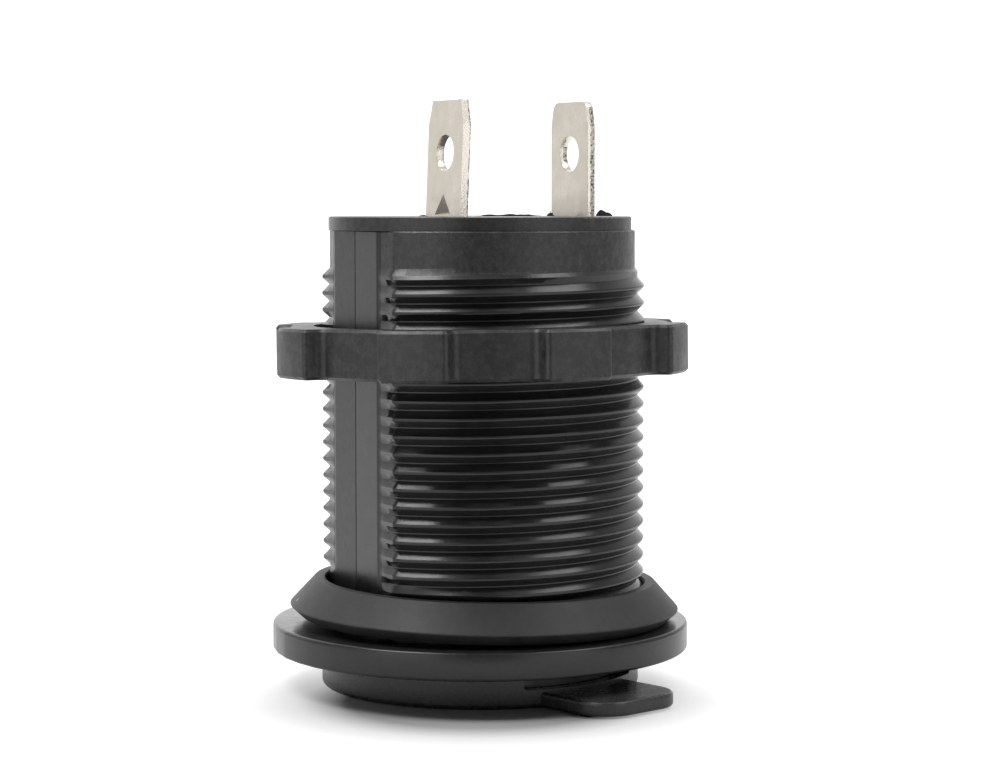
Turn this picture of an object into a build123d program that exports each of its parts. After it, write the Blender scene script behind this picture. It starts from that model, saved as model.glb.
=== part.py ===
from build123d import *
from math import cos, radians, sin, sqrt, tan
import os

# Panel-mount 12 V power socket with a hinged weather cap, standing face down on the closed cap.
# The origin is on the barrel's axis at the cap's outer face, +Z runs from the cap to the blade
# terminals, and the cap's finger tab points along -Y. Lengths are in millimetres, angles in
# degrees, and directions around the axis are counted from +X towards +Y.

# Plug bore, ground sleeve and centre contact
plug_r = 10.5
sleeve_wall = 0.4
sleeve_fit = 0.05
sleeve_setback = 0.5
sleeve_lip_cover = 0.25
sleeve_step = 0.4
sleeve_step_length = 3.2
contact_head_r = 3.9
contact_head_height = 1.5
contact_dome = 0.6
contact_shank_r = 1.2
contact_tail_r = 2.0
contact_tail_height = 0.6
bush_rim = 0.7
bush_thickness = 1.0
bush_wall = 1.2
washer_overlap = 1.5
washer_thickness = 1.0
rivet_head_r = 1.3
rivet_head_height = 0.6
rivet_shank_r = 0.8
hole_fit = 0.05

# Barrel and flange
barrel_wall = 2.85
barrel_length = 34.85
plain_tail_length = 3.35
thread_pitch = 1.5
thread_depth = 0.85
thread_crest_width = 0.2
flat_wall = 0.95
flat_direction = 162.0
flat_panel_width = 10.2
flat_shoulder_slope = 11.0
flange_overhang = 4.8
flange_thickness = 2.45
flange_edge_r = 0.3
collar_wall = 2.05
mouth_chamfer = 0.5

# Cap and its hinge
cap_height = 3.25
cap_face_thickness = 1.2
cap_skirt_wall = 0.95
cap_collar_gap = 0.25
cap_edge_r = 0.45
cap_flange_gap = 0.1
tab_length = 7.0
tab_width = 9.8
tab_corner_r = 3.0
tab_thickness = 1.25
tab_lift = 0.15
tab_edge_r = 0.3
window_margin = 1.4
window_sill = 0.22
window_corner_r = 0.3
hinge_inset = 2.1
hinge_pin_r = 0.5
hinge_pin_setback = 0.2
hinge_pin_fit = 0.02
hinge_running_gap = 0.06
knuckle_r = 1.0
knuckle_width = 7.0
knuckle_side_gap = 0.3
notch_gap = 0.25
notch_roof = 0.3
notch_roof_gap = 0.1
arm_thickness = 1.5
arm_lift = 0.95

# Seal in the cap
seal_inset = 0.5
seal_width = 1.5
seal_groove_depth = 0.5
seal_proud = 0.18
seal_gap = 0.07
seal_fit = 0.03

# Ring nut, which hangs a little askew on its thread
nut_wall = 2.2
nut_lobe_height = 1.65
nut_lobe_width = 6.3
nut_lobe_count = 8
nut_lobe_direction = 30.6
nut_thickness = 4.35
nut_setback = 8.35
nut_tilt = 1.0
nut_tilt_direction = -93.0
nut_thread_gap = 0.15
nut_lobe_corner_r = 0.5
nut_waist_corner_r = 0.8
nut_edge_chamfer = 0.25

# Panel gasket, a loose rubber cone that sits a little tilted and off centre on the flange
gasket_slack = 0.5
gasket_foot_width = 2.1
gasket_wide_width = 3.15
gasket_wide_height = 0.95
gasket_lip_width = 0.95
gasket_height = 3.35
gasket_edge_r = 0.12
gasket_tilt = 1.0
gasket_tilt_direction = -48.0
gasket_offset = 0.35
gasket_offset_direction = -42.0
gasket_seat_gap = 0.03
gasket_thread_gap = 0.02

# Blade terminals
blade_width = 6.3
blade_thickness = 0.8
blade_reach = 10.3
blade_taper_height = 2.2
centre_taper_width = 0.63
centre_corner_r = 0.12
ground_taper_width = 0.45
ground_corner_r = 0.9
blade_hole_r = 1.6
blade_hole_height = 5.6
blade_direction = 168.0
centre_blade_offset = 1.4
centre_blade_lean = 2.4
centre_foot_tail = 3.0
ground_blade_gap = 0.37
ground_foot_gap = 0.3
lance_width = 3.0
lance_height = 1.9
lance_web = 0.2
lance_ridge_offset = 0.3
lance_lift = 0.08

# Rear cover
cover_setback = 0.32
cover_thickness = 1.2
cover_edge_r = 0.15
cover_boss_depth = 0.95
cover_slot_gap = 0.1
cover_tail_gap = 0.6
leg_depth = 2.0
leg_width = 5.0
leg_gap = 0.05

# Radii worked out from the plug bore outwards
sleeve_outer_r = plug_r + sleeve_wall
sleeve_bore_r = sleeve_outer_r + sleeve_fit
sleeve_step_r = plug_r - sleeve_step
lip_r = sleeve_outer_r - sleeve_lip_cover
barrel_r = sleeve_bore_r + barrel_wall
crest_r = barrel_r + thread_depth
flat_distance = sleeve_bore_r + flat_wall
flange_r = barrel_r + flange_overhang
collar_r = sleeve_bore_r + collar_wall
cap_skirt_inner_r = collar_r + cap_collar_gap
cap_r = cap_skirt_inner_r + cap_skirt_wall
seal_outer_r = collar_r - seal_inset
seal_inner_r = seal_outer_r - seal_width
nut_bore_r = crest_r + nut_thread_gap
nut_waist_r = nut_bore_r + nut_wall
nut_lobe_r = nut_waist_r + nut_lobe_height
gasket_bore_r = barrel_r + gasket_slack
gasket_foot_r = gasket_bore_r + gasket_foot_width
gasket_wide_r = gasket_bore_r + gasket_wide_width
gasket_lip_r = gasket_bore_r + gasket_lip_width
bush_r = contact_head_r + bush_rim
bush_boss_r = contact_shank_r + bush_wall
bush_hole_r = bush_boss_r + hole_fit
washer_r = bush_hole_r + washer_overlap
cover_r = barrel_r - cover_setback
cover_boss_r = sleeve_bore_r - sleeve_fit

# Heights worked out from the cap upwards
flange_front = cap_height
flange_rear = flange_front + flange_thickness
barrel_rear = flange_rear + barrel_length
cover_rear = barrel_rear + cover_thickness
collar_front = cap_face_thickness + seal_proud + seal_gap
cap_skirt_top = flange_front - cap_flange_gap
tab_top = tab_lift + tab_thickness
hinge_height = flange_rear - notch_roof - notch_roof_gap - knuckle_r
nut_front = barrel_rear - nut_setback - nut_thickness
gasket_rise = gasket_foot_r * sin(radians(gasket_tilt)) + gasket_seat_gap
gasket_lip_height = gasket_height * cos(radians(gasket_tilt)) + gasket_lip_r * sin(radians(gasket_tilt))
gasket_top = flange_rear + gasket_rise + gasket_lip_height
thread_end = barrel_rear - plain_tail_length
rear_stack = washer_thickness + blade_thickness + contact_tail_height
rear_chamber_length = rear_stack + cover_tail_gap + cover_boss_depth
sleeve_front = flange_rear + sleeve_setback
sleeve_rear = barrel_rear - rear_chamber_length
sleeve_floor = sleeve_rear - sleeve_wall
sleeve_step_start = sleeve_floor - sleeve_step_length
washer_rear = sleeve_rear + washer_thickness

# Places worked out from the sizes above
tab_reach = cap_r + tab_length
window_width = tab_width + 2 * window_margin
hinge_distance = flange_r - hinge_inset
hinge_pin_half = sqrt((flange_r - hinge_pin_setback) ** 2 - (hinge_distance + hinge_pin_r) ** 2)
centre_blade_distance = contact_tail_r + centre_blade_offset
ground_foot_inner = washer_r + ground_foot_gap
ground_foot_outer = sqrt((sleeve_bore_r - ground_blade_gap) ** 2 - (blade_width / 2) ** 2)
ground_blade_distance = ground_foot_outer - blade_thickness / 2
rivet_distance = (ground_foot_inner + ground_foot_outer - blade_thickness) / 2
lance_depth = blade_thickness - lance_web
leg_distance = sqrt(sleeve_step_r**2 - (leg_width / 2) ** 2) - leg_depth / 2


def around(direction, radius=1.0):
    """Point at a radius and a direction around the barrel's axis."""
    return Vector(radius * cos(radians(direction)), radius * sin(radians(direction)), 0)


def level_plane(height):
    """Level plane at a height, with its X axis along the line through both blades."""
    return Plane(origin=(0, 0, height), x_dir=around(blade_direction), z_dir=(0, 0, 1))


def flat_plane(height):
    """Level plane at a height, with its Y axis square to the barrel's flat."""
    return Plane(origin=(0, 0, height), x_dir=around(flat_direction - 90), z_dir=(0, 0, 1))


def blade_plane(distance, lean=0.0):
    """Plane through the middle of a blade, with its origin level with the cover's rear face."""
    normal = around(blade_direction, cos(radians(lean))) + Vector(0, 0, sin(radians(lean)))
    origin = around(blade_direction, distance) + Vector(0, 0, cover_rear)
    return Plane(origin=origin, x_dir=around(blade_direction + 90), z_dir=normal)


def blade_corners(root_depth, taper_width):
    """Corners of a tab with a tapered tip, from its root up and around."""
    half = blade_width / 2
    tip_half = half - taper_width
    shoulder = blade_reach - blade_taper_height
    return [
        (-half, -root_depth),
        (half, -root_depth),
        (half, shoulder),
        (tip_half, blade_reach),
        (-tip_half, blade_reach),
        (-half, shoulder),
    ]


def lance_plane(blade, side):
    """Plane across a blade at the lance's open end, on the face at that side of the middle."""
    origin = blade.from_local_coords((0, lance_lift, side * blade_thickness / 2))
    return Plane(origin=origin, x_dir=blade.x_dir, z_dir=blade.y_dir)


os.makedirs("parts", exist_ok=True)

# Socket body: collar, flange and threaded barrel in one moulding
thread_turns = int((thread_end - gasket_top - gasket_thread_gap) / thread_pitch)
thread_start = thread_end - thread_turns * thread_pitch
thread_flank = (thread_pitch - thread_crest_width) / 2
thread_points = []
for turn in range(thread_turns):
    root_height = thread_start + turn * thread_pitch
    thread_points.append((barrel_r, root_height))
    thread_points.append((crest_r, root_height + thread_flank))
    thread_points.append((crest_r, root_height + thread_flank + thread_crest_width))
thread_points.append((barrel_r, thread_end))

panel_half = flat_panel_width / 2
shoulder_end = flat_distance - (crest_r - panel_half) * tan(radians(flat_shoulder_slope))
notch_inner = hinge_distance - knuckle_r - notch_gap
notch_width = knuckle_width + 2 * knuckle_side_gap
notch_height = flange_thickness - notch_roof

with BuildPart() as socket_body:
    with BuildSketch(Plane.XZ):
        with BuildLine():
            Polyline(
                (lip_r, collar_front + mouth_chamfer),
                (lip_r + mouth_chamfer, collar_front),
                (collar_r, collar_front),
                (collar_r, flange_front),
                (flange_r, flange_front),
                (flange_r, flange_rear),
                (barrel_r, flange_rear),
                *thread_points,
                (barrel_r, barrel_rear),
                (sleeve_bore_r, barrel_rear),
                (sleeve_bore_r, sleeve_front),
                (lip_r, sleeve_front),
                close=True,
            )
        make_face()
    revolve(axis=Axis.Z)
    rim_edges = socket_body.edges().filter_by(GeomType.CIRCLE).group_by(SortBy.RADIUS)[-1]
    fillet(rim_edges, flange_edge_r)
    with BuildSketch(flat_plane(flange_rear)):
        with Locations((0, flat_distance)):
            Rectangle(2 * crest_r, crest_r, align=(Align.CENTER, Align.MIN))
    extrude(amount=barrel_length, mode=Mode.SUBTRACT)
    for plain_start, plain_end in [(flange_rear, thread_start), (thread_end, barrel_rear)]:
        with BuildSketch(flat_plane(plain_start)):
            with BuildLine():
                Polyline(
                    (-panel_half, flat_distance),
                    (panel_half, flat_distance),
                    (crest_r, shoulder_end),
                    (crest_r, crest_r),
                    (-crest_r, crest_r),
                    (-crest_r, shoulder_end),
                    close=True,
                )
            make_face()
        extrude(amount=plain_end - plain_start, mode=Mode.SUBTRACT)
    with BuildSketch(Plane.XY.offset(flange_front)):
        with Locations((0, flange_r)):
            Rectangle(notch_width, 2 * (flange_r - notch_inner))
    extrude(amount=notch_height, mode=Mode.SUBTRACT)
    with BuildSketch(Plane.YZ):
        with Locations((hinge_distance, hinge_height)):
            Circle(hinge_pin_r + hinge_pin_fit)
    extrude(amount=flange_r, both=True, mode=Mode.SUBTRACT)
socket_body.part.label = "socket_body"
export_step(socket_body.part, "parts/socket_body.step")

# Hinge pin, pushed in through the flange's rim
with BuildPart() as hinge_pin:
    with BuildSketch(Plane.YZ):
        with Locations((hinge_distance, hinge_height)):
            Circle(hinge_pin_r)
    extrude(amount=hinge_pin_half, both=True)
hinge_pin.part.label = "hinge_pin"
export_step(hinge_pin.part, "parts/hinge_pin.step")

# Cap: face, skirt with a window above the finger tab, and the hinge arm with its knuckle
arm_root = sqrt((cap_r - cap_skirt_wall / 2) ** 2 - (knuckle_width / 2) ** 2)
arm_outer = hinge_distance + arm_thickness / 2

with BuildPart() as cap:
    with BuildSketch():
        Circle(cap_r)
    extrude(amount=cap_skirt_top)
    fillet(cap.faces().sort_by(Axis.Z)[0].edges(), cap_edge_r)
    with BuildSketch(Plane.XY.offset(tab_lift)) as tab_sketch:
        with Locations((0, -tab_reach / 2)):
            Rectangle(tab_width, tab_reach)
        fillet(tab_sketch.vertices().group_by(Axis.Y)[0], tab_corner_r)
    extrude(amount=tab_thickness)
    tab_edges = cap.edges().filter_by(lambda edge: edge.center().Y < -cap_r)
    fillet(tab_edges.filter_by(Plane.XY), tab_edge_r)
    with BuildSketch(Plane.XY.offset(arm_lift)):
        with Locations((0, (arm_root + arm_outer) / 2)):
            Rectangle(knuckle_width, arm_outer - arm_root)
    extrude(amount=cap_skirt_top - arm_lift)
    with BuildSketch(Plane.XY.offset(arm_lift)):
        with Locations((0, hinge_distance)):
            Rectangle(knuckle_width, arm_thickness)
    extrude(amount=hinge_height - arm_lift)
    with BuildSketch(Plane.YZ):
        with Locations((hinge_distance, hinge_height)):
            Circle(knuckle_r)
    extrude(amount=knuckle_width / 2, both=True)
    with BuildSketch(Plane.YZ):
        with Locations((hinge_distance, hinge_height)):
            Circle(hinge_pin_r + hinge_running_gap)
    extrude(amount=knuckle_width, both=True, mode=Mode.SUBTRACT)
    with BuildSketch(Plane.XY.offset(cap_face_thickness)):
        Circle(cap_skirt_inner_r)
    extrude(amount=cap_skirt_top, mode=Mode.SUBTRACT)
    with BuildSketch(Plane.XY.offset(cap_face_thickness - seal_groove_depth)):
        Circle(seal_outer_r + seal_fit)
        Circle(seal_inner_r - seal_fit, mode=Mode.SUBTRACT)
    extrude(amount=seal_groove_depth, mode=Mode.SUBTRACT)
    with BuildSketch(Plane.XZ) as window_sketch:
        with Locations((0, tab_top + window_sill)):
            Rectangle(window_width, cap_height, align=(Align.CENTER, Align.MIN))
        fillet(window_sketch.vertices().group_by(Axis.Y)[0], window_corner_r)
    extrude(amount=cap_r, mode=Mode.SUBTRACT)
cap.part.label = "cap"
export_step(cap.part, "parts/cap.step")

# Seal ring in the cap's groove
with BuildPart() as cap_seal:
    with BuildSketch(Plane.XY.offset(cap_face_thickness - seal_groove_depth)):
        Circle(seal_outer_r)
        Circle(seal_inner_r, mode=Mode.SUBTRACT)
    extrude(amount=seal_groove_depth + seal_proud)
cap_seal.part.label = "cap_seal"
export_step(cap_seal.part, "parts/cap_seal.step")

# Ring nut with grip lobes, its bore just clear of the thread's crests
nut_plane = Plane(
    origin=(0, 0, nut_front),
    x_dir=(1, 0, 0),
    z_dir=around(nut_tilt_direction, -sin(radians(nut_tilt))) + Vector(0, 0, cos(radians(nut_tilt))),
)

with BuildPart() as ring_nut:
    with BuildSketch(nut_plane) as nut_sketch:
        with PolarLocations(nut_lobe_r / 2, nut_lobe_count, start_angle=nut_lobe_direction):
            Rectangle(nut_lobe_r, nut_lobe_width)
        Circle(nut_lobe_r, mode=Mode.INTERSECT)
        Circle(nut_waist_r)
        lobe_corners = nut_sketch.vertices().filter_by(
            lambda corner: Vector(corner.X, corner.Y).length > (nut_lobe_r + nut_waist_r) / 2
        )
        fillet(lobe_corners, nut_lobe_corner_r)
        waist_corners = nut_sketch.vertices().filter_by(
            lambda corner: Vector(corner.X, corner.Y).length < nut_waist_r + nut_lobe_corner_r / 2
        )
        fillet(waist_corners, nut_waist_corner_r)
    extrude(amount=nut_thickness)
    chamfer(ring_nut.edges().filter_by(nut_plane), nut_edge_chamfer)
    with BuildSketch(nut_plane):
        Circle(nut_bore_r)
    extrude(amount=nut_thickness, mode=Mode.SUBTRACT)
ring_nut.part.label = "ring_nut"
export_step(ring_nut.part, "parts/ring_nut.step")

# Panel gasket, resting on the flange where its tilt brings it lowest
gasket_origin = around(gasket_offset_direction, gasket_offset) + Vector(0, 0, flange_rear + gasket_rise)
gasket_up = around(gasket_tilt_direction, sin(radians(gasket_tilt))) + Vector(0, 0, cos(radians(gasket_tilt)))
gasket_section = Plane(
    origin=gasket_origin,
    x_dir=around(gasket_tilt_direction + 90),
    z_dir=around(gasket_tilt_direction, cos(radians(gasket_tilt))) - Vector(0, 0, sin(radians(gasket_tilt))),
)

with BuildPart() as panel_gasket:
    with BuildSketch(gasket_section):
        with BuildLine():
            Polyline(
                (gasket_bore_r, 0),
                (gasket_foot_r, 0),
                (gasket_wide_r, gasket_wide_height),
                (gasket_lip_r, gasket_height),
                (gasket_bore_r, gasket_height),
                close=True,
            )
        make_face()
    revolve(axis=Axis(gasket_origin, gasket_up))
    fillet(panel_gasket.edges().filter_by(GeomType.CIRCLE), gasket_edge_r)
panel_gasket.part.label = "panel_gasket"
export_step(panel_gasket.part, "parts/panel_gasket.step")

# Ground sleeve, a drawn cup that takes the plug
with BuildPart() as ground_sleeve:
    with BuildSketch(Plane.XZ):
        with BuildLine():
            Polyline(
                (plug_r, sleeve_front),
                (sleeve_outer_r, sleeve_front),
                (sleeve_outer_r, sleeve_step_start + sleeve_wall),
                (sleeve_step_r + sleeve_wall, sleeve_step_start + sleeve_wall + sleeve_step),
                (sleeve_step_r + sleeve_wall, sleeve_rear),
                (bush_hole_r, sleeve_rear),
                (bush_hole_r, sleeve_floor),
                (sleeve_step_r, sleeve_floor),
                (sleeve_step_r, sleeve_step_start + sleeve_step),
                (plug_r, sleeve_step_start),
                close=True,
            )
        make_face()
    revolve(axis=Axis.Z)
    with BuildSketch(level_plane(sleeve_floor)):
        with Locations((-rivet_distance, 0)):
            Circle(rivet_shank_r + hole_fit)
    extrude(amount=sleeve_wall, mode=Mode.SUBTRACT)
ground_sleeve.part.label = "ground_sleeve"
export_step(ground_sleeve.part, "parts/ground_sleeve.step")

# Insulating bush between the centre contact and the sleeve's floor
with BuildPart() as contact_bush:
    with BuildSketch(Plane.XY.offset(sleeve_floor - bush_thickness)):
        Circle(bush_r)
    extrude(amount=bush_thickness)
    with BuildSketch(Plane.XY.offset(sleeve_floor)):
        Circle(bush_boss_r)
    extrude(amount=sleeve_wall)
    with BuildSketch(Plane.XY.offset(sleeve_floor - bush_thickness)):
        Circle(contact_shank_r + hole_fit)
    extrude(amount=bush_thickness + sleeve_wall, mode=Mode.SUBTRACT)
contact_bush.part.label = "contact_bush"
export_step(contact_bush.part, "parts/contact_bush.step")

# Insulating washer behind the sleeve's floor
with BuildPart() as contact_washer:
    with BuildSketch(Plane.XY.offset(sleeve_rear)):
        Circle(washer_r)
        Circle(contact_shank_r + hole_fit, mode=Mode.SUBTRACT)
    extrude(amount=washer_thickness)
contact_washer.part.label = "contact_washer"
export_step(contact_washer.part, "parts/contact_washer.step")

# Centre contact, a riveted stud with a domed head for the plug's tip
contact_seat = sleeve_floor - bush_thickness
contact_tail = washer_rear + blade_thickness

with BuildPart() as centre_contact:
    with BuildSketch(Plane.XZ):
        with BuildLine():
            Polyline(
                (0, contact_seat - contact_head_height),
                (0, contact_tail + contact_tail_height),
                (contact_tail_r, contact_tail + contact_tail_height),
                (contact_tail_r, contact_tail),
                (contact_shank_r, contact_tail),
                (contact_shank_r, contact_seat),
                (contact_head_r, contact_seat),
                (contact_head_r, contact_seat - contact_head_height + contact_dome),
            )
            TangentArc(
                (0, contact_seat - contact_head_height),
                (contact_head_r, contact_seat - contact_head_height + contact_dome),
                tangent=(1, 0),
            )
        make_face()
    revolve(axis=Axis.Z)
centre_contact.part.label = "centre_contact"
export_step(centre_contact.part, "parts/centre_contact.step")

# Centre terminal: foot under the contact's tail and a leaning blade with a pressed lance
centre_blade = blade_plane(centre_blade_distance, centre_blade_lean)
centre_blade_root = cover_rear - washer_rear - blade_thickness / 2
centre_foot_end = (
    centre_blade_distance
    + (cover_rear - washer_rear) * tan(radians(centre_blade_lean))
    + blade_thickness / 2
)
lance_points = [(-lance_width / 2, 0), (lance_width / 2, 0), (lance_ridge_offset, lance_depth)]
lance_top = lance_lift + lance_height

with BuildPart() as centre_terminal:
    with BuildSketch(level_plane(washer_rear)):
        with Locations(((centre_foot_end - centre_foot_tail) / 2, 0)):
            Rectangle(centre_foot_end + centre_foot_tail, blade_width)
        Circle(contact_shank_r + hole_fit, mode=Mode.SUBTRACT)
    extrude(amount=blade_thickness)
    with BuildSketch(centre_blade) as centre_outline:
        with BuildLine():
            Polyline(*blade_corners(centre_blade_root, centre_taper_width), close=True)
        make_face()
        fillet(centre_outline.vertices().sort_by(Axis.Y)[-4:], centre_corner_r)
        with Locations((0, blade_hole_height)):
            Circle(blade_hole_r, mode=Mode.SUBTRACT)
    extrude(amount=blade_thickness / 2, both=True)
    with BuildSketch(lance_plane(centre_blade, -1), mode=Mode.PRIVATE) as lance_bump:
        with BuildLine():
            Polyline(*lance_points, close=True)
        make_face()
    bump_apex = centre_blade.from_local_coords((0, lance_top, -blade_thickness / 2))
    loft([lance_bump.sketch.face(), Vertex(bump_apex)])
    with BuildSketch(lance_plane(centre_blade, 1), mode=Mode.PRIVATE) as lance_dent:
        with BuildLine():
            Polyline(*lance_points, close=True)
        make_face()
    dent_apex = centre_blade.from_local_coords((0, lance_top, blade_thickness / 2))
    loft([lance_dent.sketch.face(), Vertex(dent_apex)], mode=Mode.SUBTRACT)
centre_terminal.part.label = "centre_terminal"
export_step(centre_terminal.part, "parts/centre_terminal.step")

# Ground terminal: foot on the sleeve's floor and an upright blade beside the sleeve's wall
with BuildPart() as ground_terminal:
    with BuildSketch(level_plane(sleeve_rear)):
        with Locations((-(ground_foot_inner + ground_foot_outer) / 2, 0)):
            Rectangle(ground_foot_outer - ground_foot_inner, blade_width)
        with Locations((-rivet_distance, 0)):
            Circle(rivet_shank_r + hole_fit, mode=Mode.SUBTRACT)
    extrude(amount=blade_thickness)
    with BuildSketch(blade_plane(-ground_blade_distance)) as ground_outline:
        with BuildLine():
            Polyline(*blade_corners(cover_rear - sleeve_rear, ground_taper_width), close=True)
        make_face()
        fillet(ground_outline.vertices().sort_by(Axis.Y)[-4:], ground_corner_r)
        with Locations((0, blade_hole_height)):
            Circle(blade_hole_r, mode=Mode.SUBTRACT)
    extrude(amount=blade_thickness / 2, both=True)
ground_terminal.part.label = "ground_terminal"
export_step(ground_terminal.part, "parts/ground_terminal.step")

# Rivet that fastens the ground terminal's foot to the sleeve's floor
rivet_top = sleeve_rear + blade_thickness

with BuildPart() as ground_rivet:
    with BuildSketch(level_plane(sleeve_floor - rivet_head_height)):
        with Locations((-rivet_distance, 0)):
            Circle(rivet_head_r)
    extrude(amount=rivet_head_height)
    with BuildSketch(level_plane(sleeve_floor)):
        with Locations((-rivet_distance, 0)):
            Circle(rivet_shank_r)
    extrude(amount=rivet_top - sleeve_floor)
    with BuildSketch(level_plane(rivet_top)):
        with Locations((-rivet_distance, 0)):
            Circle(rivet_head_r)
    extrude(amount=rivet_head_height)
ground_rivet.part.label = "ground_rivet"
export_step(ground_rivet.part, "parts/ground_rivet.step")

# Rear cover: disc, boss that enters the barrel, and two legs that hold the sleeve down
slot_width = blade_thickness + 2 * cover_slot_gap
slot_length = blade_width + 2 * cover_slot_gap
lean_shift = (cover_thickness + cover_boss_depth) * tan(radians(centre_blade_lean))

with BuildPart() as rear_cover:
    with BuildSketch(Plane.XY.offset(barrel_rear)):
        Circle(cover_r)
    extrude(amount=cover_thickness)
    fillet(rear_cover.faces().sort_by(Axis.Z)[-1].edges(), cover_edge_r)
    with BuildSketch(Plane.XY.offset(barrel_rear - cover_boss_depth)):
        Circle(cover_boss_r)
    extrude(amount=cover_boss_depth)
    with BuildSketch(level_plane(sleeve_rear + leg_gap)):
        with Locations((0, leg_distance), (0, -leg_distance)):
            Rectangle(leg_width, leg_depth)
    extrude(amount=rear_chamber_length - leg_gap)
    with BuildSketch(level_plane(sleeve_rear)):
        with Locations((centre_blade_distance + lean_shift / 2, 0)):
            Rectangle(slot_width + lean_shift, slot_length)
        with Locations((-ground_blade_distance, 0)):
            Rectangle(slot_width, slot_length)
    extrude(amount=cover_rear - sleeve_rear, mode=Mode.SUBTRACT)
rear_cover.part.label = "rear_cover"
export_step(rear_cover.part, "parts/rear_cover.step")
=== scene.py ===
from math import atan, cos, degrees, pi, radians, sin, tan

import bmesh
import bpy
from mathutils import Matrix, Vector
from mathutils.noise import noise as unevenness


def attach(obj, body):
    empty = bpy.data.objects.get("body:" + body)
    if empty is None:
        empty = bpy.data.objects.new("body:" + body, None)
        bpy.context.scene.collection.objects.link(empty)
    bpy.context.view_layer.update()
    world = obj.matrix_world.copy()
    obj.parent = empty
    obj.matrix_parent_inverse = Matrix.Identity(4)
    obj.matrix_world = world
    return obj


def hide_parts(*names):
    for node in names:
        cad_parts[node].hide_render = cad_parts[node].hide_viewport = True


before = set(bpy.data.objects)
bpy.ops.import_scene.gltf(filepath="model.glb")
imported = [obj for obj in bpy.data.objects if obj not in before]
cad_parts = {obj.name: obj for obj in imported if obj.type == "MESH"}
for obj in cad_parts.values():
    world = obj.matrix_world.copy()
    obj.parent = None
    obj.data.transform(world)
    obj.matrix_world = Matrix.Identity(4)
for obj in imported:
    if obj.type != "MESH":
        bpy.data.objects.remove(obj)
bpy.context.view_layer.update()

MM = 0.001
scene = bpy.context.scene

# The photograph's view: level directions towards the camera and to its right
TO_CAMERA = Vector((-0.6691, -0.7431, 0.0))
TO_RIGHT = Vector((0.7431, -0.6691, 0.0))

# The moulded barrel, in millimetres and degrees, in the frame of the solids
FLAT_DIRECTION = 162.0
FLAT_REACH = 80.0
PANEL_DISTANCE = 11.9
PANEL_HALF = 5.1
SHOULDER_SLOPE = 11.0
TOOTH_DISTANCE = 11.82
PARTING_HALF = 0.12
PARTING_DEPTH = 0.08
BARREL_R = 13.8
ROOT_R = 14.06
CREST_R = 14.64
PITCH = 1.5
FIRST_RIDGE = 8.765
RIDGE_COUNT = 20
RIDGE_END = 37.2
RUN_OUT_SLOPE = 1.0
# Profile of a ridge: distance of its feet from the crest along the axis, and points of the crest's two sides
# as that distance and the radius over the root
UPPER_FOOT = 0.71
LOWER_FOOT = 0.7
UPPER_HALF = [(0.05, 0.574), (0.09, 0.552), (0.125, 0.52)]
LOWER_HALF = [(0.21, 0.5), (0.15, 0.556), (0.07, 0.576), (0.0, 0.58)]
# Turn past the panel's edge that the cut ends of the ridges take up
RIDGE_END_TURN = 3.5
FLANGE_FRONT = 3.25
FLANGE_REAR = 5.7
FLANGE_R = 18.6
FLANGE_EDGE_R = 0.3
COLLAR_R = 13.0
COLLAR_FRONT = 1.45
MOUTH_CHAMFER = 0.5
LIP_R = 10.65
BORE_R = 10.95
BORE_STEP = 6.2
BARREL_REAR = 40.55
REAR_CHAMFER = 0.1
NOTCH_HALF = 3.8
NOTCH_INNER = 15.25
NOTCH_ROOF = 5.4
HINGE_Y = 16.5
HINGE_Z = 4.3
PIN_HOLE_R = 0.52
CUT_OVERSHOOT = 1.0

# Columns and rows of the moulding's skin, in degrees and steps
PANEL_TURNS = [8.0, 16.0]
PANEL_EDGE_GAP = 0.6
FINE_START_GAP = 0.5
FINE_END = 41.0
FINE_END_GAP = 1.0
FINE_STEPS = 30
COARSE_STEPS = 92
FOOT_STEPS = 6
TAIL_STEPS = 4
EDGE_STEPS = 4
HOLE_SEGMENTS = 32
BODY_SHARP_ANGLE = 28.0
# Distances by which a face has to lie inside a zone of the skin, in millimetres
FLANGE_MARGIN = 0.05
BORE_MARGIN = 0.2
TAIL_MARGIN = 0.1

# The gasket's bore, which the lowest turns of the thread stay clear of
GASKET_TOP = 9.366
GASKET_TILT = 1.0
GASKET_TILT_DIRECTION = -48.0
GASKET_BORE_R = 14.3
GASKET_OFFSET = 0.4
GASKET_OFFSET_DIRECTION = -42.0
GASKET_CLEARANCE = 0.06
GASKET_FLARE = 0.8

# The blade terminals and the cover they stand in
BLADE_DIRECTION = 168.0
BLADE_HALF = 0.4
BLADE_BEVEL = 0.06
TIP_HEIGHT = 0.2
TIP_HALF = 2.5
BURR_WIDTH = 0.35
TIP_CUTS = 24
WELD_DISTANCE = 0.001
SAME_PLANE_ANGLE = 1.0
CORNER_ANGLE = 40.0
BLADE_SHARP_ANGLE = 30.0
LARGE_FACE_AREA = 0.4
SIDE_FACING = 0.9
COVER_REAR = 41.75


def around(direction, radius=1.0, height=0.0):
    """Point in metres at a radius, a direction around the axis and a height, all in millimetres."""
    turn = radians(direction)
    return Vector((radius * cos(turn), radius * sin(turn), height)) * MM


def seen_at(right, towards, height):
    """Point in metres from millimetres to the photograph's right, towards its camera and up."""
    return (TO_RIGHT * right + TO_CAMERA * towards + Vector((0, 0, height))) * MM


def clamp(value, low=0.0, high=1.0):
    return max(low, min(high, value))


def new_object(name, data):
    obj = bpy.data.objects.new(name, data)
    scene.collection.objects.link(obj)
    return obj


def finish_mesh(work, name):
    """Turns a bmesh into a mesh and frees it."""
    mesh = bpy.data.meshes.new(name)
    work.to_mesh(mesh)
    work.free()
    return mesh


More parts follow.
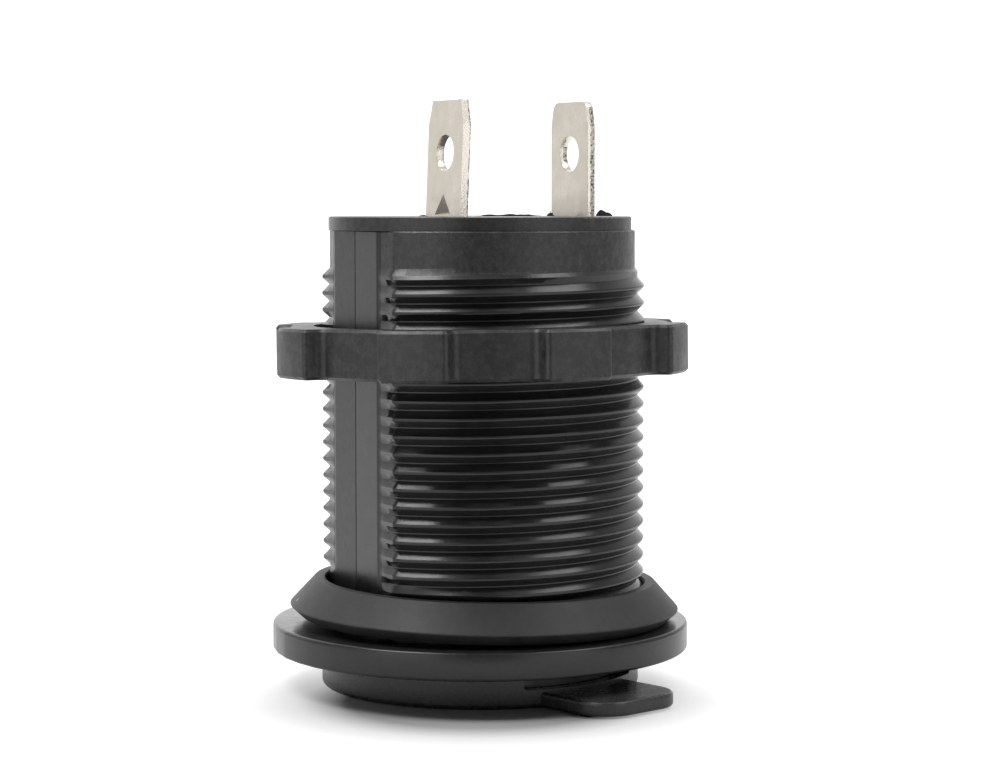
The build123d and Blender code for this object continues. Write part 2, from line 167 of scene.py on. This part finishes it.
def mark_sharp(mesh, angle, flat_area=1.0):
    """Smooth shading but across the edges that turn by more than the angle and on the large flat faces."""
    work = bmesh.new()
    work.from_mesh(mesh)
    for face in work.faces:
        face.smooth = face.calc_area() < flat_area
    for edge in work.edges:
        edge.smooth = len(edge.link_faces) == 2 and edge.calc_face_angle() < radians(angle)
    work.to_mesh(mesh)
    work.free()


# Materials: ranges of the noise that drive colour, gloss and scuffs, and the colours of dirt

MOTTLE_RANGE = (0.35, 0.7)
GLOSS_RANGE = (0.3, 0.75)
SCUFF_RANGE = (0.44, 0.72)
SCUFF_FINENESS = 2.3
DUST_SCALE = 420.0
DUST_SIZE = 0.09
PLASTIC_GRAIN_HEIGHT = 0.00004
CLOUD_SCALE = 500.0
SPECK_SCALE = 900.0
SPECK_SIZE = 0.16
DRAWN_STRETCH = (1.0, 1.0, 0.12)
METAL_GRAIN_HEIGHT = 0.00003
WANDER_SCALE = 1600.0
WANDER_RANGE = (0.3, 0.7)
WANDER_SPAN = 0.12
TORN_BLEND = 0.1
PIT_SCALE = 5200.0
PIT_RANGE = (0.4, 0.55)
PIT_PALEST = 0.25
PIT_STRENGTH = 0.8
PIT_HEIGHT = 0.00006
BURNISHED_ROUGH = 0.26
TORN_ROUGH = 0.5
BURNISHED_COLOUR = (0.93, 0.88, 0.78, 1.0)
TORN_COLOUR = (0.1, 0.09, 0.08, 1.0)


def node(tree, kind, inputs=None, **settings):
    made = tree.nodes.new(kind)
    for key, value in settings.items():
        setattr(made, key, value)
    for key, value in (inputs or {}).items():
        if isinstance(value, bpy.types.NodeSocket):
            tree.links.new(value, made.inputs[key])
        else:
            made.inputs[key].default_value = value
    return made


def start_material(name):
    material = bpy.data.materials.new(name)
    material.use_nodes = True
    tree = material.node_tree
    shader = tree.nodes["Principled BSDF"]
    place = node(tree, "ShaderNodeTexCoord").outputs["Object"]
    return material, tree, shader, place


def grey(level, warmth=0.0):
    return (level * (1 + warmth), level, level * (1 - warmth), 1.0)


def noise(tree, place, scale, detail=3.0, roughness=0.6):
    made = node(
        tree,
        "ShaderNodeTexNoise",
        {"Vector": place, "Scale": scale, "Detail": detail, "Roughness": roughness},
    )
    return made.outputs["Fac"]


def stretched(tree, place, scale):
    made = node(tree, "ShaderNodeMapping", {"Vector": place, "Scale": scale})
    return made.outputs["Vector"]


def spread(tree, value, low, high, to_low=0.0, to_high=1.0):
    made = node(
        tree,
        "ShaderNodeMapRange",
        {"Value": value, "From Min": low, "From Max": high, "To Min": to_low, "To Max": to_high},
    )
    return made.outputs["Result"]


def combine(tree, operation, first, second):
    made = node(tree, "ShaderNodeMath", {0: first, 1: second}, operation=operation)
    return made.outputs["Value"]


def blend_colours(tree, factor, first, second):
    made = node(tree, "ShaderNodeMix", data_type="RGBA")
    tree.links.new(factor, made.inputs["Factor"])
    for key, value in (("A", first), ("B", second)):
        socket = [one for one in made.inputs if one.name == key and one.type == "RGBA"][0]
        if isinstance(value, bpy.types.NodeSocket):
            tree.links.new(value, socket)
        else:
            socket.default_value = value
    return [one for one in made.outputs if one.type == "RGBA"][0]


def bump(tree, shader, height, strength, distance):
    made = node(
        tree,
        "ShaderNodeBump",
        {"Height": height, "Strength": strength, "Distance": distance},
    )
    tree.links.new(made.outputs["Normal"], shader.inputs["Normal"])


SCUFF_COLOUR = grey(0.16)
DUST_COLOUR = grey(0.5, 0.05)
SPECK_COLOUR = grey(0.05, 0.1)


def rare_specks(tree, place, scale, share, size):
    """Small round spots in the given share of the cells of a scattered grid."""
    cells = node(tree, "ShaderNodeTexVoronoi", {"Vector": place, "Scale": scale})
    near = spread(tree, cells.outputs["Distance"], size * 0.5, size, 1.0, 0.0)
    parts = node(tree, "ShaderNodeSeparateColor", {"Color": cells.outputs["Color"]})
    chosen = spread(tree, parts.outputs["Red"], 1.0 - share, 1.0 - share * 0.9)
    return combine(tree, "MULTIPLY", near, chosen)


def plastic(name, dark, pale, rough, mottle_scale, grain_scale, grain, scuff=0.0, dust=0.0, gloss=0.5):
    """Moulded black plastic or rubber: uneven gloss, scuffs, fine grain and a few specks of dust."""
    material, tree, shader, place = start_material(name)
    mottle = noise(tree, place, mottle_scale, detail=4.0, roughness=0.65)
    colour = blend_colours(tree, spread(tree, mottle, *MOTTLE_RANGE), dark, pale)
    if scuff:
        patches = noise(tree, place, mottle_scale * SCUFF_FINENESS, detail=6.0, roughness=0.8)
        worn = combine(tree, "MULTIPLY", spread(tree, patches, *SCUFF_RANGE), scuff)
        colour = blend_colours(tree, worn, colour, SCUFF_COLOUR)
    if dust:
        specks = rare_specks(tree, place, DUST_SCALE, dust, DUST_SIZE)
        colour = blend_colours(tree, specks, colour, DUST_COLOUR)
    tree.links.new(colour, shader.inputs["Base Color"])
    tree.links.new(spread(tree, mottle, *GLOSS_RANGE, *rough), shader.inputs["Roughness"])
    shader.inputs["Specular IOR Level"].default_value = gloss
    grains = noise(tree, place, grain_scale, detail=2.0, roughness=0.7)
    bump(tree, shader, grains, grain, PLASTIC_GRAIN_HEIGHT)
    return material


def metal(name, pale, dark, rough, grain_scale, grain, specks=0.0):
    """Plated sheet metal: drawn grain, uneven gloss and dark specks."""
    material, tree, shader, place = start_material(name)
    shader.inputs["Metallic"].default_value = 1.0
    cloud = noise(tree, place, CLOUD_SCALE)
    colour = blend_colours(tree, spread(tree, cloud, *MOTTLE_RANGE), pale, dark)
    if specks:
        spots = rare_specks(tree, place, SPECK_SCALE, specks, SPECK_SIZE)
        colour = blend_colours(tree, spots, colour, SPECK_COLOUR)
    tree.links.new(colour, shader.inputs["Base Color"])
    tree.links.new(spread(tree, cloud, *GLOSS_RANGE, *rough), shader.inputs["Roughness"])
    drawn = noise(tree, stretched(tree, place, DRAWN_STRETCH), grain_scale, detail=2.0)
    bump(tree, shader, drawn, grain, METAL_GRAIN_HEIGHT)
    return material


def sheared_metal(name, across, middle, burnished):
    """Cut edge of a blade: a burnished band by the near face and a torn, darker band behind it."""
    material, tree, shader, place = start_material(name)
    shader.inputs["Metallic"].default_value = 1.0
    depth = node(tree, "ShaderNodeVectorMath", {0: place, 1: across}, operation="DOT_PRODUCT")
    half = BLADE_HALF * MM
    share = spread(tree, depth.outputs["Value"], middle - half, middle + half)
    wander = spread(tree, noise(tree, place, WANDER_SCALE), *WANDER_RANGE, -WANDER_SPAN, WANDER_SPAN)
    torn_start = 1 - burnished
    torn = spread(tree, combine(tree, "ADD", share, wander), torn_start, torn_start - TORN_BLEND)
    pits = noise(tree, place, PIT_SCALE, roughness=0.7)
    dark = combine(tree, "MULTIPLY", torn, spread(tree, pits, *PIT_RANGE, 1.0, PIT_PALEST))
    colour = blend_colours(tree, dark, BURNISHED_COLOUR, TORN_COLOUR)
    tree.links.new(colour, shader.inputs["Base Color"])
    rough = spread(tree, torn, 0.0, 1.0, BURNISHED_ROUGH, TORN_ROUGH)
    tree.links.new(rough, shader.inputs["Roughness"])
    bump(tree, shader, pits, PIT_STRENGTH, PIT_HEIGHT)
    return material


PANEL_DARK = grey(0.016)
PANEL_PALE = grey(0.02)
body_plastic = plastic(
    "body_plastic", grey(0.024), grey(0.032), rough=(0.17, 0.27), mottle_scale=700.0,
    grain_scale=2400.0, grain=0.16, dust=0.012,
)
tail_plastic = plastic(
    "tail_plastic", grey(0.03), grey(0.04), rough=(0.24, 0.46), mottle_scale=650.0,
    grain_scale=2600.0, grain=0.5, scuff=0.75, dust=0.02,
)
panel_plastic = plastic(
    "panel_plastic", PANEL_DARK, PANEL_PALE, rough=(0.34, 0.44), mottle_scale=1500.0,
    grain_scale=3000.0, grain=0.4, gloss=0.38,
)
smooth_panel_plastic = plastic(
    "smooth_panel_plastic", PANEL_DARK, PANEL_PALE, rough=(0.26, 0.34), mottle_scale=900.0,
    grain_scale=3000.0, grain=0.08, gloss=0.32,
)
cover_plastic = plastic(
    "cover_plastic", grey(0.032), grey(0.04), rough=(0.26, 0.42), mottle_scale=700.0,
    grain_scale=2800.0, grain=0.35, scuff=0.5, dust=0.015,
)
nut_plastic = plastic(
    "nut_plastic", grey(0.024), grey(0.036), rough=(0.28, 0.5), mottle_scale=420.0,
    grain_scale=2800.0, grain=0.35, scuff=0.6, dust=0.02,
)
cap_plastic = plastic(
    "cap_plastic", grey(0.062), grey(0.074), rough=(0.24, 0.33), mottle_scale=700.0,
    grain_scale=4200.0, grain=0.1, dust=0.012,
)
gasket_rubber = plastic(
    "gasket_rubber", grey(0.042), grey(0.056), rough=(0.46, 0.58), mottle_scale=260.0,
    grain_scale=4200.0, grain=0.15, scuff=0.16, dust=0.015,
)
seal_rubber = plastic(
    "seal_rubber", grey(0.014), grey(0.02), rough=(0.55, 0.7), mottle_scale=600.0,
    grain_scale=5200.0, grain=0.3,
)
insulator = plastic(
    "insulator", (0.16, 0.07, 0.03, 1.0), (0.2, 0.09, 0.04, 1.0), rough=(0.4, 0.55), mottle_scale=900.0,
    grain_scale=4200.0, grain=0.3,
)
blade_metal = metal(
    "blade_metal", (0.92, 0.86, 0.76, 1.0), (0.85, 0.79, 0.69, 1.0), rough=(0.24, 0.36),
    grain_scale=2600.0, grain=0.25, specks=0.05,
)
sleeve_metal = metal(
    "sleeve_metal", (0.72, 0.70, 0.67, 1.0), (0.62, 0.60, 0.57, 1.0), rough=(0.22, 0.36),
    grain_scale=1800.0, grain=0.25,
)
contact_metal = metal(
    "contact_metal", (0.76, 0.62, 0.36, 1.0), (0.64, 0.5, 0.28, 1.0), rough=(0.25, 0.4),
    grain_scale=1800.0, grain=0.25,
)
pin_steel = metal("pin_steel", grey(0.6), grey(0.5), rough=(0.25, 0.35), grain_scale=1800.0, grain=0.2)


# Socket body: barrel with its helical thread, flat, flange, collar and bore in one closed skin

panel_edge = degrees(atan(PANEL_HALF / PANEL_DISTANCE))


def core_radius(turn, plain_radius):
    """Radius of the barrel without its ridges, at a turn in degrees from the flat's middle."""
    side = abs(turn)
    if side > FLAT_REACH:
        return plain_radius
    panel = PANEL_DISTANCE / cos(radians(side))
    if side <= degrees(atan(PARTING_HALF / PANEL_DISTANCE)) / 2:
        return panel - PARTING_DEPTH
    if side <= panel_edge:
        return panel
    slope = tan(radians(SHOULDER_SLOPE))
    across = cos(radians(side)) + slope * sin(radians(side))
    return min(plain_radius, (PANEL_DISTANCE + PANEL_HALF * slope) / across)


def helix_rise(turn):
    """Rise of the thread at a turn from the flat, which falls back by a pitch across the flat."""
    full_turn = turn % 360
    if panel_edge <= full_turn <= 360 - panel_edge:
        return PITCH * (full_turn - 180) / 360
    return -turn / panel_edge * PITCH * (180 - panel_edge) / 360


def clear_radius(turn, height):
    """Largest radius that stays clear of the gasket at a turn from the flat and a height."""
    direction = FLAT_DIRECTION + turn
    lean = CREST_R * tan(radians(GASKET_TILT)) * cos(radians(direction - GASKET_TILT_DIRECTION))
    bore = GASKET_BORE_R + GASKET_OFFSET * cos(radians(direction - GASKET_OFFSET_DIRECTION))
    return bore - GASKET_CLEARANCE + GASKET_FLARE * max(0.0, height - GASKET_TOP + lean)


def widest(turn, height):
    """Largest radius of the ridges: clear of the gasket, run out below the tail and cut at the flat."""
    run_out = core_radius(turn, BARREL_R) + RUN_OUT_SLOPE * max(0.0, RIDGE_END - height)
    limit = min(clear_radius(turn, height), run_out)
    if abs(turn) < FLAT_REACH:
        limit = min(limit, max(core_radius(turn, ROOT_R), TOOTH_DISTANCE / cos(radians(turn))))
    return limit


def ridge_rows(turn, centre):
    """(radius, height) of one ridge across its profile, from its lower root upwards."""
    core = core_radius(turn, ROOT_R)
    height = centre + helix_rise(turn)
    stretch = (CREST_R - core) / (CREST_R - ROOT_R)
    rows = [(core, height - LOWER_FOOT)]
    rows += [(core + up * stretch, height - half) for half, up in LOWER_HALF]
    rows += [(core + up * stretch, height + half) for half, up in UPPER_HALF]
    rows.append((core, height + UPPER_FOOT))
    return [(min(radius, widest(turn, rise)), rise) for radius, rise in rows]


def rounded_edge(radius, height, start):
    """(radius, height) along the quarter round of the flange's rim, from a start angle in degrees."""
    points = []
    for step in range(EDGE_STEPS + 1):
        bend = radians(start + 90 * step / EDGE_STEPS)
        points.append((radius + FLANGE_EDGE_R * cos(bend), height + FLANGE_EDGE_R * sin(bend)))
    return points


def barrel_column(turn):
    """(radius, height) down the moulding's whole outline at one turn, as a closed loop."""
    rise = helix_rise(turn)
    plain = core_radius(turn, BARREL_R)
    lowest = FIRST_RIDGE - PITCH / 2
    highest = lowest + RIDGE_COUNT * PITCH
    column = []
    for step in range(FOOT_STEPS):
        share = step / FOOT_STEPS
        column.append((plain, FLANGE_REAR + share * (lowest - FLANGE_REAR) + share * rise))
    for ridge in range(RIDGE_COUNT):
        column += ridge_rows(turn, FIRST_RIDGE + ridge * PITCH)
    edge = BARREL_REAR - REAR_CHAMFER
    for step in range(TAIL_STEPS + 1):
        share = step / TAIL_STEPS
        column.append((plain, highest + share * (edge - highest) + (1 - share) * rise))
    column += [
        (plain - REAR_CHAMFER, BARREL_REAR),
        (BORE_R, BARREL_REAR),
        (BORE_R, BORE_STEP),
        (LIP_R, BORE_STEP),
        (LIP_R, COLLAR_FRONT + MOUTH_CHAMFER),
        (LIP_R + MOUTH_CHAMFER, COLLAR_FRONT),
        (COLLAR_R - REAR_CHAMFER, COLLAR_FRONT),
        (COLLAR_R, COLLAR_FRONT + REAR_CHAMFER),
        (COLLAR_R, FLANGE_FRONT),
    ]
    column += rounded_edge(FLANGE_R - FLANGE_EDGE_R, FLANGE_FRONT + FLANGE_EDGE_R, -90)
    column += rounded_edge(FLANGE_R - FLANGE_EDGE_R, FLANGE_REAR - FLANGE_EDGE_R, 0)
    return column


def barrel_turns():
    """Turns of the columns, close together where the ridges run out into the flat."""
    parting = degrees(atan(PARTING_HALF / PANEL_DISTANCE))
    fine = FINE_END - FINE_END_GAP - panel_edge
    coarse = 180 - FINE_END
    half = [parting] + PANEL_TURNS + [panel_edge - PANEL_EDGE_GAP, panel_edge]
    half += [panel_edge + FINE_START_GAP + step * fine / FINE_STEPS for step in range(FINE_STEPS)]
    half += [FINE_END + step * coarse / COARSE_STEPS for step in range(COARSE_STEPS)]
    return [0.0] + half + [180.0] + [-turn for turn in reversed(half)]


def skin_slot(turn, centre):
    """Place among the moulding's materials: 1 and 2 on the panel's halves, 3 on the tail, 0 elsewhere."""
    radius = centre.xy.length / MM
    height = centre.z / MM
    if height < FLANGE_REAR + FLANGE_MARGIN or radius < PANEL_DISTANCE - BORE_MARGIN:
        return 0
    if abs(turn) < panel_edge + RIDGE_END_TURN:
        return 1 if turn < 0 else 2
    return 3 if height > RIDGE_END - TAIL_MARGIN else 0


def cut(obj, cutter):
    """Takes the cutter's shape out of the object's mesh."""
    change = obj.modifiers.new("cut", "BOOLEAN")
    change.operation = "DIFFERENCE"
    change.solver = "EXACT"
    change.object = cutter
    seen = obj.evaluated_get(bpy.context.evaluated_depsgraph_get())
    result = bpy.data.meshes.new_from_object(seen)
    old_mesh = obj.data
    obj.modifiers.remove(change)
    obj.data = result
    bpy.data.meshes.remove(old_mesh)
    bpy.data.objects.remove(cutter)


def hinge_notch():
    """Block that cuts the cap hinge's notch into the flange's rim."""
    work = bmesh.new()
    depth = FLANGE_R + CUT_OVERSHOOT - NOTCH_INNER
    front = FLANGE_FRONT - CUT_OVERSHOOT
    centre = Vector((0, NOTCH_INNER + depth / 2, (front + NOTCH_ROOF) / 2)) * MM
    size = Vector((2 * NOTCH_HALF, depth, NOTCH_ROOF - front)) * MM
    bmesh.ops.create_cube(work, size=1.0, matrix=Matrix.LocRotScale(centre, None, size))
    return new_object("notch", finish_mesh(work, "notch"))


def pin_hole():
    """Rod that cuts the hinge pin's hole through the flange."""
    work = bmesh.new()
    middle = Matrix.Translation(Vector((0, HINGE_Y, HINGE_Z)) * MM)
    bmesh.ops.create_cone(
        work,
        cap_ends=True,
        segments=HOLE_SEGMENTS,
        radius1=PIN_HOLE_R * MM,
        radius2=PIN_HOLE_R * MM,
        depth=2 * FLANGE_R * MM,
        matrix=middle @ Matrix.Rotation(pi / 2, 4, "Y"),
    )
    return new_object("pin_hole", finish_mesh(work, "pin_hole"))


def make_body():
    turns = barrel_turns()
    work = bmesh.new()
    columns = []
    for turn in turns:
        direction = FLAT_DIRECTION + turn
        points = [around(direction, radius, height) for radius, height in barrel_column(turn)]
        columns.append([work.verts.new(point) for point in points])
    rows = len(columns[0])
    for index, column in enumerate(columns):
        following = columns[(index + 1) % len(columns)]
        middle = (turns[index] + turns[(index + 1) % len(columns)]) / 2
        for row in range(rows):
            above = (row + 1) % rows
            face = work.faces.new((column[row], following[row], following[above], column[above]))
            face.material_index = skin_slot(middle, face.calc_center_median())
    bmesh.ops.recalc_face_normals(work, faces=work.faces)
    body = new_object("socket_body_moulding", finish_mesh(work, "socket_body_moulding"))
    cut(body, hinge_notch())
    cut(body, pin_hole())
    mark_sharp(body.data, BODY_SHARP_ANGLE)
    for material in (body_plastic, panel_plastic, smooth_panel_plastic, tail_plastic):
        body.data.materials.append(material)
    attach(body, "socket")
    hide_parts("socket_body")


make_body()


# Blades: the solids with rounded edges, torn sides and, on one of them, a burred tip

def make_blade(name, solid, distance, lean, burnished, burr):
    """Blade at a distance from the axis, leaning by an angle, with a share of its sides burnished."""
    work = bmesh.new()
    work.from_mesh(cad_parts[solid].data)
    bmesh.ops.remove_doubles(work, verts=work.verts, dist=WELD_DISTANCE * MM)
    bmesh.ops.dissolve_limit(
        work, angle_limit=radians(SAME_PLANE_ANGLE), verts=work.verts, edges=work.edges
    )
    inner_edges = [edge for edge in work.edges if len(edge.link_faces) == 2]
    corners = [edge for edge in inner_edges if edge.calc_face_angle() > radians(CORNER_ANGLE)]
    bmesh.ops.bevel(
        work,
        geom=corners,
        offset=BLADE_BEVEL * MM,
        segments=2,
        profile=0.5,
        affect="EDGES",
        clamp_overlap=True,
    )
    wide = around(BLADE_DIRECTION + 90) / MM
    work.normal_update()
    for face in work.faces:
        face.material_index = 1 if abs(face.normal.dot(wide)) > SIDE_FACING else 0
    if burr:
        tip = max(vert.co.z for vert in work.verts) - TIP_HEIGHT * MM
        along = [edge for edge in work.edges if all(vert.co.z > tip for vert in edge.verts)]
        long_edges = [edge for edge in along if edge.calc_length() > MM]
        bmesh.ops.subdivide_edges(work, edges=long_edges, cuts=TIP_CUTS)
        for vert in work.verts:
            if vert.co.z > tip:
                inside = TIP_HALF - abs(wide.dot(vert.co)) / MM
                vert.co.z -= burr * MM * clamp(inside / BURR_WIDTH)
    blade = new_object(name, finish_mesh(work, name))
    mark_sharp(blade.data, BLADE_SHARP_ANGLE, flat_area=LARGE_FACE_AREA * MM**2)
    across = around(BLADE_DIRECTION, cos(radians(lean))) / MM + Vector((0, 0, sin(radians(lean))))
    root = around(BLADE_DIRECTION, distance, COVER_REAR)
    edge_metal = sheared_metal(name + "_edge", across, across.dot(root), burnished)
    blade.data.materials.append(blade_metal)
    blade.data.materials.append(edge_metal)
    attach(blade, "socket")
    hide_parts(solid)


make_blade("centre_blade", "centre_terminal", distance=3.4, lean=2.4, burnished=0.8, burr=0.07)
make_blade("ground_blade", "ground_terminal", distance=-9.7, lean=0.0, burnished=0.35, burr=0.0)


# Moulding flash on the cover: low torn fins, each given from end to end as seen in the photograph
# (millimetres to the right, towards the camera), with its height, its thickness and its peaks

FLASH_FINS = [
    ((-0.4, -1.6), (5.5, -1.9), 0.26, 0.14, 2.0),
    ((10.5, -4.9), (12.0, -4.6), 0.75, 0.2, 0.5),
    ((6.0, -4.4), (6.7, -4.5), 0.5, 0.16, 2.5),
    ((-5.4, 2.2), (-4.6, 1.9), 0.22, 0.14, 1.5),
]
FLASH_STEPS = 16
FLASH_SUNK = 0.03
FLASH_ENDS = 0.05
FLASH_SWAY = 0.12
SWAY_RATE = 5
SWAY_SPACING = 3.1
SWAY_PLACE = 2.7
TEAR_RATE = 4
TEAR_SPACING = 7.3
TEAR_PLACE = 0.4
TEAR_LOW = 0.45
TEAR_SPAN = 1.1


def make_flash():
    work = bmesh.new()
    for number, (start, end, tall, thick, peaks) in enumerate(FLASH_FINS):
        stations = []
        for step in range(FLASH_STEPS + 1):
            share = step / FLASH_STEPS
            right = start[0] + share * (end[0] - start[0])
            towards = start[1] + share * (end[1] - start[1])
            torn = abs(unevenness(Vector((share * peaks * TEAR_RATE, number * TEAR_SPACING, TEAR_PLACE))))
            slope = sin(pi * clamp(share * (1 - 2 * FLASH_ENDS) + FLASH_ENDS))
            height = COVER_REAR + tall * slope * (TEAR_LOW + TEAR_SPAN * torn)
            sway = FLASH_SWAY * unevenness(Vector((share * SWAY_RATE, number * SWAY_SPACING, SWAY_PLACE)))
            stations.append([
                work.verts.new(seen_at(right, towards + sway - thick / 2, COVER_REAR - FLASH_SUNK)),
                work.verts.new(seen_at(right, towards + sway + thick / 2, COVER_REAR - FLASH_SUNK)),
                work.verts.new(seen_at(right, towards + sway + thick / 6, height)),
                work.verts.new(seen_at(right, towards + sway - thick / 6, height)),
            ])
        for near, far in zip(stations, stations[1:]):
            for corner in range(4):
                after = (corner + 1) % 4
                work.faces.new((near[corner], near[after], far[after], far[corner]))
        work.faces.new(stations[0][::-1])
        work.faces.new(stations[-1])
    bmesh.ops.recalc_face_normals(work, faces=work.faces)
    flash = new_object("cover_flash", finish_mesh(work, "cover_flash"))
    flash.data.materials.append(cover_plastic)
    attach(flash, "socket")


make_flash()


# Materials of the solids that keep their shape

node_materials = {
    "rear_cover": cover_plastic,
    "ring_nut": nut_plastic,
    "panel_gasket": gasket_rubber,
    "cap": cap_plastic,
    "cap_seal": seal_rubber,
    "hinge_pin": pin_steel,
    "ground_sleeve": sleeve_metal,
    "centre_contact": contact_metal,
    "contact_bush": insulator,
    "contact_washer": insulator,
    "ground_rivet": sleeve_metal,
}
for name, material in node_materials.items():
    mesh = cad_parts[name].data
    mesh.materials.clear()
    mesh.materials.append(material)


# Floor: a white table top that ends in front of the object, as in the photograph, with a painted shadow in
# front of the object where its glow is left out

FLOOR_R = 0.45
FLOOR_FRONT = 0.11
FLOOR_POINTS = 96
FLOOR_SHADE = 0.55
FLOOR_ROUGH = 0.9
FLOOR_GLOSS = 0.1
# Glow that whitens the floor outside a round spot in front of the object. The glow is left out of the spot,
# so the dark there is painted shadow as well as the lamps' real shadow. The stops are distances in metres
# from the painted shadow's middle, with their glow
PAINTED_SHADOW_MIDDLE = 0.010
FLOOR_GLOW = [(0.0115, 0.0), (0.0155, 0.42), (0.025, 0.9)]
MIRRORED_GLOW = 0.55


def make_floor():
    work = bmesh.new()
    rim = []
    for point in range(FLOOR_POINTS):
        turn = 2 * pi * point / FLOOR_POINTS
        rim.append(work.verts.new(
            TO_RIGHT * FLOOR_R * sin(turn) + TO_CAMERA * min(FLOOR_R * cos(turn), FLOOR_FRONT)
        ))
    face = work.faces.new(rim)
    if face.normal.z < 0:
        face.normal_flip()
    mesh = finish_mesh(work, "floor")
    floor = new_object("floor", mesh)
    material, tree, shader, place = start_material("floor_white_painted_shadow")
    shader.inputs["Base Color"].default_value = grey(FLOOR_SHADE)
    shader.inputs["Roughness"].default_value = FLOOR_ROUGH
    shader.inputs["Specular IOR Level"].default_value = FLOOR_GLOSS
    # The glow grows with the distance from this point, which leaves a round painted shadow on the floor in
    # front of the object
    middle = TO_CAMERA * PAINTED_SHADOW_MIDDLE
    away = node(tree, "ShaderNodeVectorMath", {0: place, 1: middle}, operation="DISTANCE")
    glow = 0.0
    for (inner, low), (outer, high) in zip(FLOOR_GLOW, FLOOR_GLOW[1:]):
        part = spread(tree, away.outputs["Value"], inner, outer, 0.0, high - low)
        glow = combine(tree, "ADD", part, glow)
    path = node(tree, "ShaderNodeLightPath")
    mirrored = combine(tree, "MAXIMUM", path.outputs["Is Glossy Ray"], path.outputs["Is Transmission Ray"])
    faint = combine(tree, "MULTIPLY", mirrored, MIRRORED_GLOW)
    sight = combine(tree, "MAXIMUM", path.outputs["Is Camera Ray"], faint)
    lift = combine(tree, "MULTIPLY", glow, sight)
    shader.inputs["Emission Color"].default_value = (1.0, 1.0, 1.0, 1.0)
    tree.links.new(lift, shader.inputs["Emission Strength"])
    mesh.materials.append(material)


make_floor()


# World: brightness of the studio by bearing from the camera's side, in degrees to the right,
# as mirrored in glossy surfaces and as soft light, and the share of the mirrored one that is left overhead

MIRRORED_LEVELS = [
    (-179, 1.3), (-155, 1.3), (-132, 0.7), (-120, 0.8), (-105, 0.42), (-75, 0.75), (-50, 1.5), (-28, 1.3),
    (-12, 0.35), (14, 0.35), (34, 1.05), (55, 1.3), (80, 0.5), (120, 0.4), (150, 0.7), (179, 1.3),
]
SOFT_LEVELS = [
    (-179, 1.4), (-120, 1.3), (-90, 0.3), (-60, 0.05), (60, 0.05), (90, 0.3), (120, 1.3), (179, 1.4),
]
OVERHEAD_RISE = (0.2, 0.6)
OVERHEAD_SHARE = 0.8


def level_ramp(tree, bearing, levels):
    """Brightness by bearing as a node's output."""
    ramp = node(tree, "ShaderNodeValToRGB", {"Fac": spread(tree, bearing, -pi, pi, 0.0, 1.0)})
    ramp.color_ramp.interpolation = "EASE"
    for stop_bearing, level in levels:
        stop = ramp.color_ramp.elements.new((stop_bearing + 180) / 360)
        stop.color = grey(level)
    ramp.color_ramp.elements.remove(ramp.color_ramp.elements[0])
    ramp.color_ramp.elements.remove(ramp.color_ramp.elements[-1])
    return ramp.outputs["Color"]


def make_world():
    world = bpy.data.worlds.new("studio")
    scene.world = world
    world.use_nodes = True
    tree = world.node_tree
    direction = node(tree, "ShaderNodeTexCoord").outputs["Generated"]
    facing = node(tree, "ShaderNodeVectorMath", {0: direction, 1: TO_CAMERA}, operation="DOT_PRODUCT")
    sideways = node(tree, "ShaderNodeVectorMath", {0: direction, 1: TO_RIGHT}, operation="DOT_PRODUCT")
    bearing = combine(tree, "ARCTAN2", sideways.outputs["Value"], facing.outputs["Value"])
    path = node(tree, "ShaderNodeLightPath")
    mirrored = combine(tree, "MAXIMUM", path.outputs["Is Glossy Ray"], path.outputs["Is Transmission Ray"])
    soft = level_ramp(tree, bearing, SOFT_LEVELS)
    rise = node(tree, "ShaderNodeSeparateXYZ", {"Vector": direction}).outputs["Z"]
    overhead = spread(tree, rise, *OVERHEAD_RISE, 1.0, OVERHEAD_SHARE)
    around_low = combine(tree, "MULTIPLY", level_ramp(tree, bearing, MIRRORED_LEVELS), overhead)
    level = blend_colours(tree, mirrored, soft, around_low)
    shown = combine(tree, "MAXIMUM", level, path.outputs["Is Camera Ray"])
    background = tree.nodes["Background"]
    background.inputs["Color"].default_value = (1.0, 1.0, 1.0, 1.0)
    tree.links.new(shown, background.inputs["Strength"])


make_world()

# Soft lamps: name, bearing, height above the floor as an angle, distance, width and brightness
LAMPS = [
    ("lamp_left", -86.0, 65.0, 0.7, 0.28, 6.6),
    ("lamp_right", 97.0, 59.5, 0.7, 0.28, 3.2),
]
LAMP_AIM = Vector((0, 0, 0.02))
for name, bearing, rise, distance, width, level in LAMPS:
    lamp_data = bpy.data.lights.new(name, "AREA")
    lamp_data.shape = "SQUARE"
    lamp_data.size = width
    lamp_data.energy = level * pi * width**2
    lamp = new_object(name, lamp_data)
    level_way = TO_CAMERA * cos(radians(bearing)) + TO_RIGHT * sin(radians(bearing))
    way = level_way * cos(radians(rise)) + Vector((0, 0, sin(radians(rise))))
    lamp.location = way * distance + LAMP_AIM
    lamp.rotation_mode = "QUATERNION"
    lamp.rotation_quaternion = way.to_track_quat("Z", "Y")

# Camera of the photograph
CAMERA_AWAY = 0.2316
CAMERA_ASIDE = 0.001786
CAMERA_HEIGHT = 0.0432
CAMERA_PITCH = 4.0024
CAMERA_LENS = 93.38
SENSOR_WIDTH = 36.0
CLIP_START = 0.01
camera_data = bpy.data.cameras.new("camera")
camera_data.sensor_fit = "HORIZONTAL"
camera_data.sensor_width = SENSOR_WIDTH
camera_data.lens = CAMERA_LENS
camera_data.clip_start = CLIP_START
camera = new_object("camera", camera_data)
camera.location = TO_CAMERA * CAMERA_AWAY + TO_RIGHT * CAMERA_ASIDE + Vector((0, 0, CAMERA_HEIGHT))
look = -TO_CAMERA * cos(radians(CAMERA_PITCH)) - Vector((0, 0, sin(radians(CAMERA_PITCH))))
camera.rotation_mode = "QUATERNION"
camera.rotation_quaternion = look.to_track_quat("-Z", "Y")
scene.camera = camera

scene.view_settings.view_transform = "Standard"
